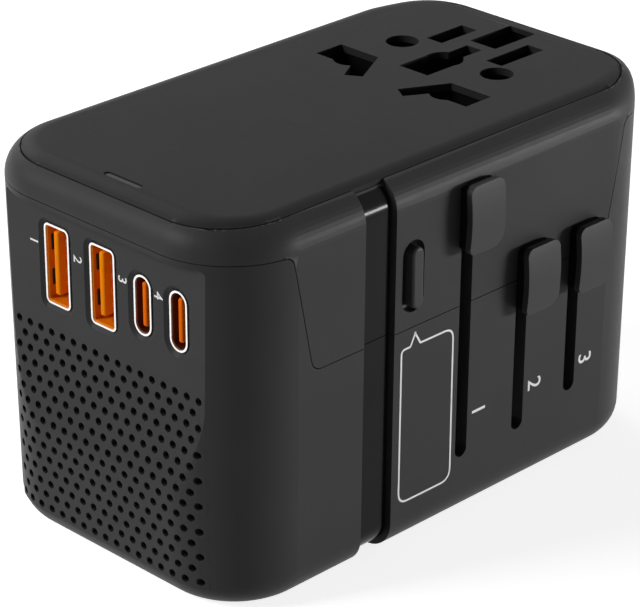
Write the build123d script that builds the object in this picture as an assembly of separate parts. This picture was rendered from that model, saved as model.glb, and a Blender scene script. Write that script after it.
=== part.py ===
from build123d import *
from math import atan2, degrees
import os

os.makedirs("parts", exist_ok=True)

# Body. Lengths along X, widths along Y, heights along Z, all in millimetres.
# Length, width and corner radius are those of the widest plane, at the very top.
body_length = 89.8
body_width = 53.1
body_height = 58.0
draft_run = 0.71
corner_radius = 12.97
top_round = 5.0
foot_round = 4.8
wall = 2.4
end_wall = 1.8
floor_thickness = 2.4

# Clearances shared by many pieces, and the overrun of every cutting tool
overrun = 1.0
slide_gap = 0.25
press_gap = 0.02
turn_gap = 0.06

# Flat face let into the USB end, which runs out into the drafted wall near its foot
facet_depth = 1.9
facet_top_drop = 5.8
facet_bend_height = 30.0
facet_lean_share = 0.115
facet_bend_radius = 35.0
facet_half_width = 20.3
facet_corner = 1.5
facet_wall = 2.2

# Parting line between the upper cover and the lower case, a saddle seen from the side;
# drops here and below are measured down from the top of the body
rim_drop = 5.0
saddle_drop = 23.2
front_rise_inset = 11.9
rear_rise_inset = 10.1
rise_run = 3.9
rise_round = 1.5
saddle_round = 2.0
parting_gap = 0.12

# Top plate and the ledge under it
plate_side_inset = 2.9
plate_end_inset = 2.2
plate_radius = 10.4
plate_thickness = 1.2
plate_gap = 0.17
ledge_width = 1.5
ledge_lip = 0.2
ledge_thickness = 1.6

# Universal socket openings in the top plate, measured back from the far end
socket_end_margin = 3.3
earth_length = 8.9
earth_width = 5.1
earth_corner = 0.25
socket_reach = 21.9
round_hole_radius = 2.5
round_hole_spacing = 19.0
round_hole_reach = 11.85
blade_hole_width = 3.1
blade_hole_reach = 4.35
blade_hole_spacing = 12.7
live_blade_length = 7.8
neutral_blade_length = 9.3
pin_hole_width = 5.3
pin_hole_inner = 7.35
pin_hole_outer = 15.05
slant_tip_reach = 4.6
slant_tip_inner = 3.5
slant_end_reach = 6.05
slant_end_inner = 5.9
bulge_reach = 3.4
bulge_middle = 9.8
bulge_inner = 7.9
bulge_outer = 11.5
centre_start_reach = 19.5
centre_half_width = 2.85
centre_round_radius = 3.0
centre_round_reach = 12.95
centre_slot_half_width = 1.47
centre_slot_end_reach = 6.25

# Socket housing and its contacts
housing_height = 13.8
housing_floor = 1.5
housing_side_margin = 1.1
housing_end_margin = 0.8
housing_corner = 4.0
well_growth = 0.35
base_thickness = 2.4
base_end_gap = 0.3
base_side_gap = 0.5
strip_thickness = 0.8
strip_width = 5.6
leaf_thickness = 0.45
leaf_height = 6.5
leaf_slit_gap = 0.15

# Plug pins that slide out of the floor
pin_set_back = 1.85
uk_pitch = 22.2
uk_pin_width = 6.35
uk_pin_thickness = 4.0
uk_earth_width = 8.0
uk_tip_height = 1.8
uk_earth_tip_height = 0.3
uk_tip_chamfer = 1.0
pin_root_length = 6.0
pin_root_share = 0.7
us_offset = 11.4
us_pitch = 12.7
us_blade_width = 6.35
us_blade_thickness = 1.5
us_tip_height = 0.6
us_tip_chamfer = 0.5
us_turn = 30
us_turn_step = 5
eu_offset = 12.1
eu_pitch = 19.0
eu_pin_radius = 2.4
eu_pin_length = 19.0
eu_tip_height = 0.5
eu_tip_round = 2.0
eu_boss_width = 13.7
eu_boss_length = 35.0
eu_boss_chamfer = 4.2

# Carriers of the plug pins, their drops measured down from under the socket base
eu_flange_drop = 4.6
eu_flange_thickness = 3.0
eu_flange_overlap = 1.5
eu_column_half_width = 4.5
eu_column_depth = 15.0
eu_top_drop = 5.0
uk_carrier_drop = 18.4
uk_carrier_height = 11.8
uk_bar_half_width = 2.7
uk_rail_inner = 11.6
uk_rail_width = 4.0
uk_holder_margin = 0.9
uk_holder_half_width = 3.2
us_carrier_drop = 21.0
us_carrier_half_width = 5.0
us_carrier_half_length = 10.4
us_carrier_height = 13.4
us_hub_radius = 3.9
us_neck_radius = 3.3
us_neck_height = 1.4
us_lid_thickness = 1.6
arm_half_width = 2.2
arm_face_inset = 5.5
arm_bottom_rise = 2.0
arm_top_drop = 3.3
carrier_round = 0.8

# Sliders on the long side: slots in the wall, and caps that ride over it
slot_width = 2.4
slot_bottom = {"eu": 10.2, "uk": 10.2, "us": 12.5}
cap_bottom_drop = {"eu": 14.8, "uk": 28.3, "us": 28.65}
cap_lead = {"eu": 0.85, "uk": 0.4, "us": 0.35}
cap_width = 6.9
cap_height = 10.4
cap_top_proud = 2.0
cap_middle_proud = 2.65
cap_bottom_proud = 2.1
cap_plate = 1.0
cap_wall_gap = 0.15
cap_body_inset = 0.22
cap_top_corner = 1.3
cap_large_corner = 2.1
neck_gap = 0.15
neck_bottom_rise = 1.4
neck_top_drop = 1.6

# Dark band round the body
band_offset = 14.4
band_width = 6.0
band_depth = 0.9
band_thickness = 0.7
band_gap = 0.35

# Mode button in its stadium recess
button_offset = 10.9
button_drop = 15.4
recess_width = 4.34
recess_length = 10.9
recess_depth = 1.3
button_width = 2.2
button_length = 9.2
button_proud = 1.06
button_gap = 0.12
button_edge_round = 0.4
button_flange = 0.8
button_flange_margin = 0.6
button_stem_radius = 0.9
button_travel = 1.0
switch_width = 5.8
switch_depth = 9.0
switch_round = 0.3

# USB ports in the flat face
usb_a_places = (10.15, 0.74)
usb_c_places = (-7.35, -14.45)
port_drop = 15.25
usb_a_width = 5.1
usb_a_length = 12.2
usb_a_corner = 0.9
usb_c_width = 3.45
usb_c_length = 8.95
usb_c_corner = 1.7
port_setback = 0.3
port_depth = 11.2
port_shell = 0.3
port_recess_margin = 0.8
port_recess_depth = 0.6
port_seat_gap = 0.1
insert_back = 2.2
usb_a_tongue_thickness = 1.9
usb_a_tongue_side_gap = 0.6
usb_a_tongue_margin = 1.0
usb_c_tongue_thickness = 0.8
usb_c_tongue_margin = 1.1
tongue_setback = 0.8

# Vent holes in the flat face, in staggered rows
vent_long_row = 17
vent_pitch = 2.31
vent_row_step = 1.98
vent_drop = 25.65
vent_foot_height = 4.63
vent_radius = 0.72
vent_sides = 6

# Indicator light
light_inset = 5.5
light_shift = -0.4
light_length = 7.3
light_width = 1.1
light_gap = 0.05
light_recess = 0.15
light_leg = 1.3
light_drop = 4.9
led_depth = 1.0
led_half_width = 1.2

# Boards and what they carry
board_thickness = 1.6
board_lift = 3.6
board_side_gap = 1.6
usb_board_top_drop = 3.6
standoff_radius = 2.2
standoff_inset = 4.0
partition_thickness = 1.5
partition_gap = 0.25
partition_side_gap = 0.35
partition_top_drop = 3.4
partition_window_half = 8.0
partition_window_bottom = 12.0
partition_window_height = 18.0
sink_length = 13.0
sink_width = 16.0
sink_height = 22.0
sink_foot = 2.5
sink_fins = 6
sink_fin_thickness = 1.2
choke_radius = 5.5
choke_hole_radius = 2.4
choke_height = 7.5
choke_bevel = 1.2
capacitor_radius = 3.6
capacitor_height = 17.0
capacitor_bevel = 0.6
fuse_radius = 1.6
fuse_length = 12.0
fuse_cap_radius = 1.9
fuse_cap_length = 2.5

# Screw posts that carry the socket base, and their screws
post_radius = 2.2
post_bore_radius = 1.3
near_post_offset = 5.7
near_post_side = 20.0
far_post_inset = 8.3
far_post_side = 18.2
screw_radius = 1.25
screw_head_radius = 1.9
screw_head_height = 1.1
screw_sink = 0.5
screw_entry = 1.6
screw_seat_gap = 0.05
base_corner = 10.0

# Values worked out from those above
half_length = body_length / 2
half_width = body_width / 2
draft_slope = draft_run / body_height
draft_angle = degrees(atan2(draft_run, body_height))
facet_x = facet_depth - half_length
cavity_start = facet_x + facet_wall
cavity_end = half_length - end_wall
plate_bottom = body_height - plate_thickness
ledge_bottom = plate_bottom - ledge_thickness
plate_half_length = half_length - plate_end_inset
plate_half_width = half_width - plate_side_inset
earth_x = half_length - socket_end_margin - earth_length / 2
line_x = earth_x - socket_reach
round_x = earth_x - round_hole_reach
blade_x = earth_x - blade_hole_reach
uk_earth_x = earth_x - pin_set_back
slot_x = {"uk": uk_earth_x - uk_pitch}
slot_x["us"] = slot_x["uk"] + us_offset
slot_x["eu"] = slot_x["uk"] - eu_offset
cap_bottom = {name: body_height - drop for name, drop in cap_bottom_drop.items()}
neck_bottom = {name: low + neck_bottom_rise for name, low in cap_bottom.items()}
neck_top = {name: low + cap_height - neck_top_drop for name, low in cap_bottom.items()}
arm_face = arm_face_inset - half_width
button_x = slot_x["eu"] - button_offset
band_end = slot_x["eu"] - band_offset
band_start = band_end - band_width
partition_end = slot_x["eu"] - eu_boss_width / 2 - partition_gap
partition_start = partition_end - partition_thickness
board_bottom = floor_thickness + board_lift
board_top = board_bottom + board_thickness
usb_board_x = facet_x + port_setback + port_depth
eu_shoulder = eu_tip_height + eu_pin_length
base_top = plate_bottom - housing_height
base_bottom = base_top - base_thickness
housing_start = line_x - slant_end_reach - housing_side_margin
base_half_width = half_width - wall - draft_run - base_side_gap
near_post_x = slot_x["uk"] + near_post_offset
far_post_x = half_length - far_post_inset
saddle_height = body_height - saddle_drop
button_height = body_height - button_drop
port_height = body_height - port_drop
vent_top_height = body_height - vent_drop
vent_rows = round((vent_top_height - vent_foot_height) / vent_row_step) + 1
eu_flange_height = base_bottom - eu_flange_drop
uk_carrier_bottom = base_bottom - uk_carrier_drop
us_carrier_bottom = base_bottom - us_carrier_drop
arm_top_height = base_bottom - arm_top_drop


def block(x0, x1, y0, y1, z0, z1):
    return Pos((x0 + x1) / 2, (y0 + y1) / 2, (z0 + z1) / 2) * Box(x1 - x0, y1 - y0, z1 - z0)


def rise(sketch, z0, z1):
    """Plan sketch carried up from height z0 to z1."""
    return extrude(Plane.XY.offset(z0) * sketch, amount=z1 - z0)


def across(sketch, y0, y1):
    """Sketch of the long side, X by Z, carried from y0 to y1."""
    return extrude(Plane.XZ.offset(-y1) * sketch, amount=y1 - y0)


def along(sketch, x0, x1):
    """Sketch of the end, Y by Z, carried from x0 to x1."""
    return extrude(Plane.YZ.offset(x0) * sketch, amount=x1 - x0)


def side_wall(height):
    """Y of the outer face of the slider side at a height."""
    return draft_slope * (body_height - height) - half_width


def tapered_block(x0, x1, half_breadth, radius, bottom, top):
    """Rounded block with the body's draft; its sizes hold at the body's own top."""
    lean = draft_slope * (body_height - top)
    plan = RectangleRounded(x1 - x0 - 2 * lean, 2 * (half_breadth - lean), radius - lean)
    plane = Plane(origin=((x0 + x1) / 2, 0, top), x_dir=(1, 0, 0), z_dir=(0, 0, -1))
    return extrude(plane * plan, amount=top - bottom, taper=draft_angle)


def inset_body(depth):
    """The body's outer form moved inwards by a depth all round."""
    form = tapered_block(
        depth - half_length,
        half_length - depth,
        half_width - depth,
        corner_radius - depth,
        depth,
        body_height - depth,
    )
    form = fillet(form.faces().sort_by(Axis.Z)[-1].edges(), top_round - depth)
    return fillet(form.faces().sort_by(Axis.Z)[0].edges(), foot_round - depth)


def facet_cutter():
    """What is cut off the USB end: upright, then leaning out till it leaves the wall."""
    outside = -half_length - overrun
    foot = facet_bend_height - (facet_depth + overrun) / facet_lean_share
    profile = Polygon(
        (outside, body_height - facet_top_drop),
        (outside, foot),
        (facet_x, facet_bend_height),
        (facet_x, body_height - facet_top_drop),
        align=None,
    )
    bend = profile.vertices().sort_by_distance((facet_x, facet_bend_height))[0]
    profile = fillet(bend, facet_bend_radius)
    window_foot = foot - facet_corner
    window_top = body_height - facet_top_drop
    window = Pos(0, (window_foot + window_top) / 2) * RectangleRounded(
        2 * facet_half_width, window_top - window_foot, facet_corner
    )
    depth = along(window, outside - overrun, facet_x + overrun)
    return across(profile, -half_width, half_width) & depth


def cavity():
    return tapered_block(
        cavity_start,
        cavity_end,
        half_width - wall,
        corner_radius - wall,
        floor_thickness,
        ledge_bottom,
    )


def cover_region(gap):
    """Side view of everything above the parting line, grown by a gap."""
    beyond = half_length + overrun
    rim = body_height - rim_drop - gap
    low = saddle_height - gap
    front = front_rise_inset - half_length - gap
    rear = half_length - rear_rise_inset + gap
    outline = Polygon(
        (-beyond, rim),
        (front, rim),
        (front + rise_run, low),
        (rear - rise_run, low),
        (rear, rim),
        (beyond, rim),
        (beyond, body_height + overrun),
        (-beyond, body_height + overrun),
        align=None,
    )
    for x, z, radius in (
        (front, rim, rise_round),
        (rear, rim, rise_round),
        (front + rise_run, low, saddle_round),
        (rear - rise_run, low, saddle_round),
    ):
        outline = fillet(outline.vertices().sort_by_distance((x, z))[0], radius)
    return across(outline, -half_width - overrun, half_width + overrun)


def plate_outline(growth):
    return RectangleRounded(
        2 * (plate_half_length + growth), 2 * (plate_half_width + growth), plate_radius + growth
    )


def ledge_opening():
    """Opening inside the ledge, which narrows to a lip at the far end."""
    start = ledge_width - plate_half_length
    end = plate_half_length - ledge_lip
    width = 2 * (plate_half_width - ledge_width)
    plan = RectangleRounded(end - start, width, plate_radius - ledge_width)
    return Pos((start + end) / 2, 0) * plan


def pin_opening(side):
    """Opening for a rectangular pin, joined to a slanted blade slot and a rounded corner."""
    left = line_x - pin_hole_width / 2
    right = line_x + pin_hole_width / 2
    corner = (left, side * bulge_outer)
    tail = (left, side * bulge_inner)
    edges = Polyline(
        tail,
        (line_x - slant_end_reach, side * slant_end_inner),
        (line_x - slant_tip_reach, side * slant_tip_inner),
        (right, side * pin_hole_inner),
        (right, side * pin_hole_outer),
        (left, side * pin_hole_outer),
        corner,
    )
    bulge = ThreePointArc(corner, (line_x - bulge_reach, side * bulge_middle), tail)
    return make_face([*edges.edges(), bulge.edge()])


def centre_opening():
    start = earth_x - centre_start_reach
    middle = earth_x - centre_round_reach
    end = earth_x - centre_slot_end_reach
    wide = Pos((start + middle) / 2, 0) * Rectangle(middle - start, 2 * centre_half_width)
    narrow = Pos((middle + end) / 2, 0) * Rectangle(end - middle, 2 * centre_slot_half_width)
    return wide + narrow + Pos(middle, 0) * Circle(centre_round_radius)


def socket_openings():
    """Every opening of the universal socket, as separate sketches."""
    earth = Pos(earth_x, 0) * RectangleRounded(earth_length, earth_width, earth_corner)
    live = Pos(blade_x, blade_hole_spacing / 2) * Rectangle(live_blade_length, blade_hole_width)
    neutral = Pos(blade_x, -blade_hole_spacing / 2) * Rectangle(neutral_blade_length, blade_hole_width)
    holes = [Pos(round_x, side * round_hole_spacing / 2) * Circle(round_hole_radius) for side in (-1, 1)]
    return [earth, live, neutral, centre_opening(), pin_opening(1), pin_opening(-1), *holes]


def slot_cutter(name):
    top = neck_top[name] + slot_width / 2 + neck_gap
    low = slot_bottom[name]
    slot = Pos(slot_x[name], (top + low) / 2) * Rot(0, 0, 90) * SlotOverall(top - low, slot_width)
    return across(slot, -half_width - overrun, wall + draft_run + overrun - half_width)


def stadium(width, length):
    return Pos(button_x, button_height) * Rot(0, 0, 90) * SlotOverall(length, width)


def button_cutter():
    recess_floor = side_wall(button_height) + recess_depth
    pocket = across(stadium(recess_width, recess_length), -half_width - overrun, recess_floor)
    hole_width = button_width + 2 * button_gap
    hole_length = button_length + 2 * button_gap
    hole = across(stadium(hole_width, hole_length), -half_width - overrun, wall + overrun - half_width)
    return pocket + hole


def port_outline(kind, y, growth):
    if kind == "a":
        width, length, corner = usb_a_width, usb_a_length, usb_a_corner
    else:
        width, length, corner = usb_c_width, usb_c_length, usb_c_corner
    plan = RectangleRounded(width + 2 * growth, length + 2 * growth, corner + growth)
    return Pos(y, port_height) * plan


def port_places():
    places = [("a", number + 1, y) for number, y in enumerate(usb_a_places)]
    return places + [("c", number + 1, y) for number, y in enumerate(usb_c_places)]


def port_cutters():
    tools = []
    for kind, _, y in port_places():
        sink = port_outline(kind, y, port_recess_margin)
        hole = port_outline(kind, y, port_seat_gap)
        tools.append(along(sink, -half_length - overrun, facet_x + port_recess_depth))
        tools.append(along(hole, -half_length - overrun, cavity_start + overrun))
    return tools


def vent_cutters():
    """Staggered rows of holes, every second row one hole shorter."""
    tools = []
    hole = RegularPolygon(vent_radius, vent_sides)
    vent_end = cavity_start + corner_radius / 4
    for row in range(vent_rows):
        count = vent_long_row - row % 2
        height = vent_top_height - row * vent_row_step
        for place in range(count):
            y = (place - (count - 1) / 2) * vent_pitch
            tools.append(along(Pos(y, height) * hole, -half_length - overrun, vent_end))
    return tools


def boss_outline(growth):
    plan = Rectangle(eu_boss_width + 2 * growth, eu_boss_length + 2 * growth)
    return Pos(slot_x["eu"], 0) * chamfer(plan.vertices(), eu_boss_chamfer)


def blade_sweep(side):
    """Bow-tie hole that lets a blade turn as well as slide."""
    width = us_blade_width + 2 * slide_gap
    thickness = us_blade_thickness + 2 * slide_gap
    shape = Rectangle(width, thickness)
    for angle in range(us_turn_step, us_turn + us_turn_step, us_turn_step):
        shape += Rot(0, 0, side * angle) * Rectangle(width, thickness)
    return Pos(slot_x["us"], side * us_pitch / 2) * shape


def floor_openings():
    pin = Rectangle(uk_pin_thickness + 2 * slide_gap, uk_pin_width + 2 * slide_gap)
    earth = Rectangle(uk_earth_width + 2 * slide_gap, uk_pin_thickness + 2 * slide_gap)
    openings = [boss_outline(slide_gap), Pos(uk_earth_x, 0) * earth]
    for side in (-1, 1):
        openings.append(Pos(slot_x["uk"], side * uk_pitch / 2) * pin)
        openings.append(blade_sweep(side))
    return openings


def post_places():
    corners = ((near_post_x, near_post_side), (far_post_x, far_post_side))
    return [(x, side * y) for x, y in corners for side in (-1, 1)]


def outer_shell():
    """Outer form with its flat face, cavity, slots, ports and band groove cut."""
    shell = inset_body(0) - facet_cutter() - cavity()
    shell -= rise(plate_outline(plate_gap), plate_bottom, body_height + overrun)
    shell -= rise(ledge_opening(), ledge_bottom - overrun, plate_bottom + overrun)
    slab = block(band_start, band_end, -body_width, body_width, -overrun, body_height + overrun)
    groove = slab - inset_body(band_depth + band_thickness)
    groove -= rise(plate_outline(plate_gap), ledge_bottom, body_height)
    shell -= groove
    for name in slot_x:
        shell -= slot_cutter(name)
    return shell - button_cutter()


def make_lower_case(shell):
    case = shell - cover_region(parting_gap)
    case = case - port_cutters() - vent_cutters()
    for opening in floor_openings():
        case -= rise(opening, -overrun, floor_thickness + overrun)
    for x, y in post_places():
        case += Pos(x, y) * rise(Circle(post_radius), floor_thickness, base_bottom)
        case -= Pos(x, y) * rise(Circle(post_bore_radius), -overrun, base_bottom + overrun)
        seat = Circle(screw_head_radius + screw_seat_gap)
        case -= Pos(x, y) * rise(seat, -overrun, screw_sink + screw_head_height)
    for x in (board_start() + standoff_inset, partition_start - standoff_inset):
        for side in (-1, 1):
            place = Pos(x, side * (board_half_width() - standoff_inset))
            case += place * rise(Circle(standoff_radius), floor_thickness, board_bottom)
    return case


def make_upper_cover(shell):
    return shell & cover_region(0)


def make_top_plate():
    plate = inset_body(0) & rise(plate_outline(0), plate_bottom, body_height + overrun)
    for opening in socket_openings():
        plate -= rise(opening, plate_bottom - overrun, body_height + overrun)
    return plate - rise(light_outline(0), plate_bottom - overrun, body_height + overrun)


def make_bands():
    """Strap let into the groove: two upper lengths and one hoop under the body."""
    slab = block(band_start, band_end - band_gap, -body_width, body_width, -overrun, body_height + overrun)
    strap = (inset_body(band_depth) & slab) - inset_body(band_depth + band_thickness)
    strap -= rise(plate_outline(plate_gap), ledge_bottom, body_height + overrun)
    strap -= block(band_start, band_end, -plate_half_width, plate_half_width, saddle_height, body_height)
    return strap & cover_region(0), strap - cover_region(parting_gap)


def light_outline(gap):
    x = light_inset - half_length
    return Pos(x, light_shift) * Rot(0, 0, 90) * SlotOverall(light_length - 2 * gap, light_width - 2 * gap)


def make_light_pipe():
    low = body_height - light_drop
    pipe = rise(light_outline(light_gap), low, body_height - light_recess)
    x = light_inset - half_length
    reach = usb_board_x - led_depth - light_gap
    half = light_length / 2 - light_width
    leg = block(x, reach, light_shift - half, light_shift + half, low, low + light_leg)
    return pipe + leg


def make_led():
    low = body_height - light_drop
    front = usb_board_x - led_depth
    return block(front, usb_board_x, light_shift - led_half_width, light_shift + led_half_width, low, low + light_leg)


def make_port_shell(kind, y):
    mouth = facet_x + port_setback
    tube = port_outline(kind, y, 0) - port_outline(kind, y, -port_shell)
    return along(tube, mouth, usb_board_x)


def make_port_insert(kind, y):
    """Insulator at the back of the port with the tongue that carries its contacts."""
    fill = -port_shell
    back = along(port_outline(kind, y, fill), usb_board_x - insert_back, usb_board_x)
    front = facet_x + port_setback + tongue_setback
    if kind == "a":
        near = y - usb_a_width / 2 + port_shell + usb_a_tongue_side_gap
        thickness = usb_a_tongue_thickness
        half = usb_a_length / 2 - port_shell - usb_a_tongue_margin
    else:
        near = y - usb_c_tongue_thickness / 2
        thickness = usb_c_tongue_thickness
        half = usb_c_length / 2 - port_shell - usb_c_tongue_margin
    tongue = block(front, usb_board_x, near, near + thickness, port_height - half, port_height + half)
    return back + tongue


def board_start():
    return usb_board_x - board_thickness / 2


def board_half_width():
    return half_width - wall - draft_run - board_side_gap


def make_usb_board():
    half = board_half_width()
    top = body_height - usb_board_top_drop
    return block(usb_board_x, usb_board_x + board_thickness, -half, half, board_top, top)


def make_converter_board():
    half = board_half_width()
    return block(board_start(), partition_start - partition_gap, -half, half, board_bottom, board_top)


def make_heat_sink():
    """Foot with upright fins, its length along the body."""
    x0 = partition_start - partition_gap - sink_length - board_side_gap
    y0 = board_half_width() - sink_width - board_side_gap
    sink = block(x0, x0 + sink_length, y0, y0 + sink_width, board_top, board_top + sink_foot)
    step = (sink_width - sink_fin_thickness) / (sink_fins - 1)
    for fin in range(sink_fins):
        y = y0 + fin * step
        sink += block(x0, x0 + sink_length, y, y + sink_fin_thickness, board_top, board_top + sink_height)
    return sink


def make_choke():
    x = partition_start - partition_gap - board_side_gap - choke_radius
    y = board_side_gap + choke_radius - board_half_width()
    ring = Circle(choke_radius) - Circle(choke_hole_radius)
    coil = rise(ring, board_top, board_top + choke_height)
    return Pos(x, y) * chamfer(coil.edges().filter_by(GeomType.CIRCLE), choke_bevel)


def make_capacitor(number):
    x = usb_board_x + board_thickness + board_side_gap + capacitor_radius
    y = number * (2 * capacitor_radius + board_side_gap) - board_half_width() + capacitor_radius
    can = rise(Circle(capacitor_radius), board_top, board_top + capacitor_height)
    return Pos(x, y) * chamfer(can.faces().sort_by(Axis.Z)[-1].edges(), capacitor_bevel)


def make_fuse():
    """Glass fuse lying across the board between its two metal caps."""
    x = usb_board_x + board_thickness + board_side_gap + fuse_cap_radius
    y = board_side_gap
    height = board_top + fuse_cap_radius
    glass = across(Pos(x, height) * Circle(fuse_radius), y, y + fuse_length)
    near = across(Pos(x, height) * Circle(fuse_cap_radius), y, y + fuse_cap_length)
    far = across(Pos(x, height) * Circle(fuse_cap_radius), y + fuse_length - fuse_cap_length, y + fuse_length)
    return glass + near + far


def make_partition():
    """Wall between the circuit bay and the plug bay, with a window for the leads."""
    half = half_width - wall - draft_run - partition_side_gap
    top = body_height - partition_top_drop
    plate = block(partition_start, partition_end, -half, half, floor_thickness, top)
    window = block(
        partition_start - overrun,
        partition_end + overrun,
        -partition_window_half,
        partition_window_half,
        partition_window_bottom,
        partition_window_bottom + partition_window_height,
    )
    return plate - window


def contact_leaves():
    """Spring leaves of each pole: centre X and Y, spread, breadth, and which way they face."""
    poles = {"line_contact": [], "neutral_contact": [], "earth_contact": []}
    for name, side in (("line_contact", 1), ("neutral_contact", -1)):
        pin_y = side * (pin_hole_inner + pin_hole_outer) / 2
        poles[name].append((line_x, pin_y, pin_hole_width, pin_hole_width, "x"))
        round_y = side * round_hole_spacing / 2
        poles[name].append((round_x, round_y, 2 * round_hole_radius, round_hole_radius, "x"))
        poles[name].append((blade_x, side * blade_hole_spacing / 2, blade_hole_width, pin_hole_width, "y"))
    poles["earth_contact"].append((earth_x, 0, earth_width, pin_hole_width, "y"))
    slot_middle = earth_x - (centre_round_reach - centre_round_radius + centre_slot_end_reach) / 2
    poles["earth_contact"].append((slot_middle, 0, 2 * centre_slot_half_width, blade_hole_width, "y"))
    return poles


def leaf_pair(x, y, spread, breadth, facing, gap):
    """Two upright leaves just inside the walls of a well, grown by a gap for their slits."""
    reach = spread / 2 - leaf_thickness
    leaves = []
    for side in (-1, 1):
        inner, outer = sorted((side * reach, side * (reach + leaf_thickness)))
        if facing == "x":
            plan = (x + inner - gap, x + outer + gap, y - breadth / 2 - gap, y + breadth / 2 + gap)
        else:
            plan = (x - breadth / 2 - gap, x + breadth / 2 + gap, y + inner - gap, y + outer + gap)
        leaves.append(plan)
    return leaves


def make_contact(name):
    leaves = contact_leaves()[name]
    low = base_top - strip_thickness
    first = min(x for x, *_ in leaves) - strip_width / 2
    last = max(x for x, *_ in leaves) + strip_width / 2
    middle = sum(y for _, y, *_ in leaves) / len(leaves)
    contact = block(first, last, middle - strip_width / 2, middle + strip_width / 2, low, base_top)
    for x, y, spread, breadth, facing in leaves:
        pad = breadth / 2
        side = spread / 2 if facing == "x" else pad
        deep = pad if facing == "x" else spread / 2
        contact += block(x - side, x + side, min(y - deep, middle), max(y + deep, middle), low, base_top)
        for x0, x1, y0, y1 in leaf_pair(x, y, spread, breadth, facing, 0):
            contact += block(x0, x1, y0, y1, low, base_top + housing_floor + leaf_height)
    return contact


def make_socket_housing():
    """Block of wells under the openings, with slits in its floor for the contact leaves."""
    end = earth_x + earth_length / 2 + housing_end_margin
    half = pin_hole_outer + housing_side_margin
    plan = RectangleRounded(end - housing_start, 2 * half, housing_corner)
    housing = rise(Pos((housing_start + end) / 2, 0) * plan, base_top, plate_bottom)
    for opening in socket_openings():
        well = offset(opening, amount=well_growth)
        housing -= rise(well, base_top + housing_floor, plate_bottom + overrun)
    for leaves in contact_leaves().values():
        for place in leaves:
            for x0, x1, y0, y1 in leaf_pair(*place, leaf_slit_gap):
                housing -= block(x0, x1, y0, y1, base_top - overrun, base_top + housing_floor + leaf_height)
    return housing


def make_socket_base(contacts):
    """Tray under the housing, carried by four posts, with grooves for the contact strips."""
    start = slot_x["eu"] + eu_boss_width / 2 + base_end_gap
    end = cavity_end - draft_run - base_end_gap
    plan = RectangleRounded(end - start, 2 * base_half_width, base_corner)
    base = Pos((start + end) / 2, 0) * rise(plan, base_bottom, base_top)
    for contact in contacts:
        base -= contact
    for x, y in post_places():
        base -= Pos(x, y) * rise(Circle(screw_radius), base_bottom - overrun, base_bottom + screw_entry)
    return base


def make_screw(x, y):
    seat = screw_sink + screw_head_height
    head = rise(Circle(screw_head_radius), screw_sink, seat)
    shank = rise(Circle(screw_radius), seat, base_bottom + screw_entry)
    return Pos(x, y) * (head + shank)


def cap_outline(name, inset):
    """Rounded outline of a cap, its lower far corner larger than the rest."""
    left = slot_x[name] - slot_width / 2 - cap_lead[name]
    low = cap_bottom[name]
    width = cap_width - 2 * inset
    height = cap_height - 2 * inset
    shape = Pos(left + cap_width / 2, low + cap_height / 2) * Rectangle(width, height)
    corner = (left + cap_width - inset, low + inset)
    shape = fillet(shape.vertices().sort_by_distance(corner)[0], cap_large_corner - inset)
    upper = shape.vertices().group_by(Axis.Y)[-1]
    lower = shape.vertices().group_by(Axis.Y)[0].sort_by(Axis.X)[0]
    return fillet([*upper, lower], cap_top_corner - inset)


def cap_profile(name, outer, inner):
    """Side view of a cap between two distances from its curved face."""
    low = cap_bottom[name] - overrun
    middle = cap_bottom[name] + cap_height / 2
    top = cap_bottom[name] + cap_height + overrun
    stations = ((low, cap_bottom_proud), (middle, cap_middle_proud), (top, cap_top_proud))
    face = [(side_wall(z) - proud + outer, z) for z, proud in stations]
    front = ThreePointArc(*face)
    if inner is None:
        back = Line((side_wall(top) - cap_wall_gap, top), (side_wall(low) - cap_wall_gap, low))
    else:
        rear = [(y + inner - outer, z) for y, z in face]
        back = ThreePointArc(*reversed(rear))
    return make_face([front.edge(), Line(front @ 1, back @ 0).edge(), back.edge(), Line(back @ 1, front @ 0).edge()])


def make_cap(name):
    """Curved thumb plate, its smaller body, and the neck that passes through the slot."""
    left = slot_x[name] - slot_width
    right = left + cap_width + 2 * slot_width
    reach = (-half_width - cap_middle_proud - overrun, -half_width + wall)
    plate = along(cap_profile(name, 0, cap_plate), left, right) & across(cap_outline(name, 0), *reach)
    inner = across(cap_outline(name, cap_body_inset), *reach)
    body = along(cap_profile(name, cap_plate, None), left, right) & inner
    half = slot_width / 2 - neck_gap
    x = slot_x[name]
    root = side_wall(neck_bottom[name]) - cap_wall_gap - cap_plate / 2
    neck = block(x - half, x + half, root, arm_face, neck_bottom[name], neck_top[name])
    return plate + body + neck


def make_arm(name, start_y, bottom, top):
    x = slot_x[name]
    return block(x - arm_half_width, x + arm_half_width, arm_face, start_y, bottom, top)


def make_eu_carrier():
    """Plug boss below a flange that stops it, and the column up to its cap."""
    x = slot_x["eu"]
    boss = rise(boss_outline(0), eu_shoulder, eu_flange_height + eu_flange_thickness)
    half = eu_boss_width / 2
    reach = eu_boss_length / 2 + eu_flange_overlap
    top = body_height - eu_top_drop
    flange = block(x - half, x + half, -reach, reach, eu_flange_height, eu_flange_height + eu_flange_thickness)
    column_back = arm_face + eu_column_depth
    column = block(x - eu_column_half_width, x + eu_column_half_width, arm_face, column_back, eu_flange_height, top)
    carrier = boss + flange + column
    for side in (-1, 1):
        socket = Circle(pin_root_share * eu_pin_radius + press_gap)
        carrier -= Pos(x, side * eu_pitch / 2) * rise(socket, eu_shoulder, eu_shoulder + pin_root_length)
    return carrier


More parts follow.
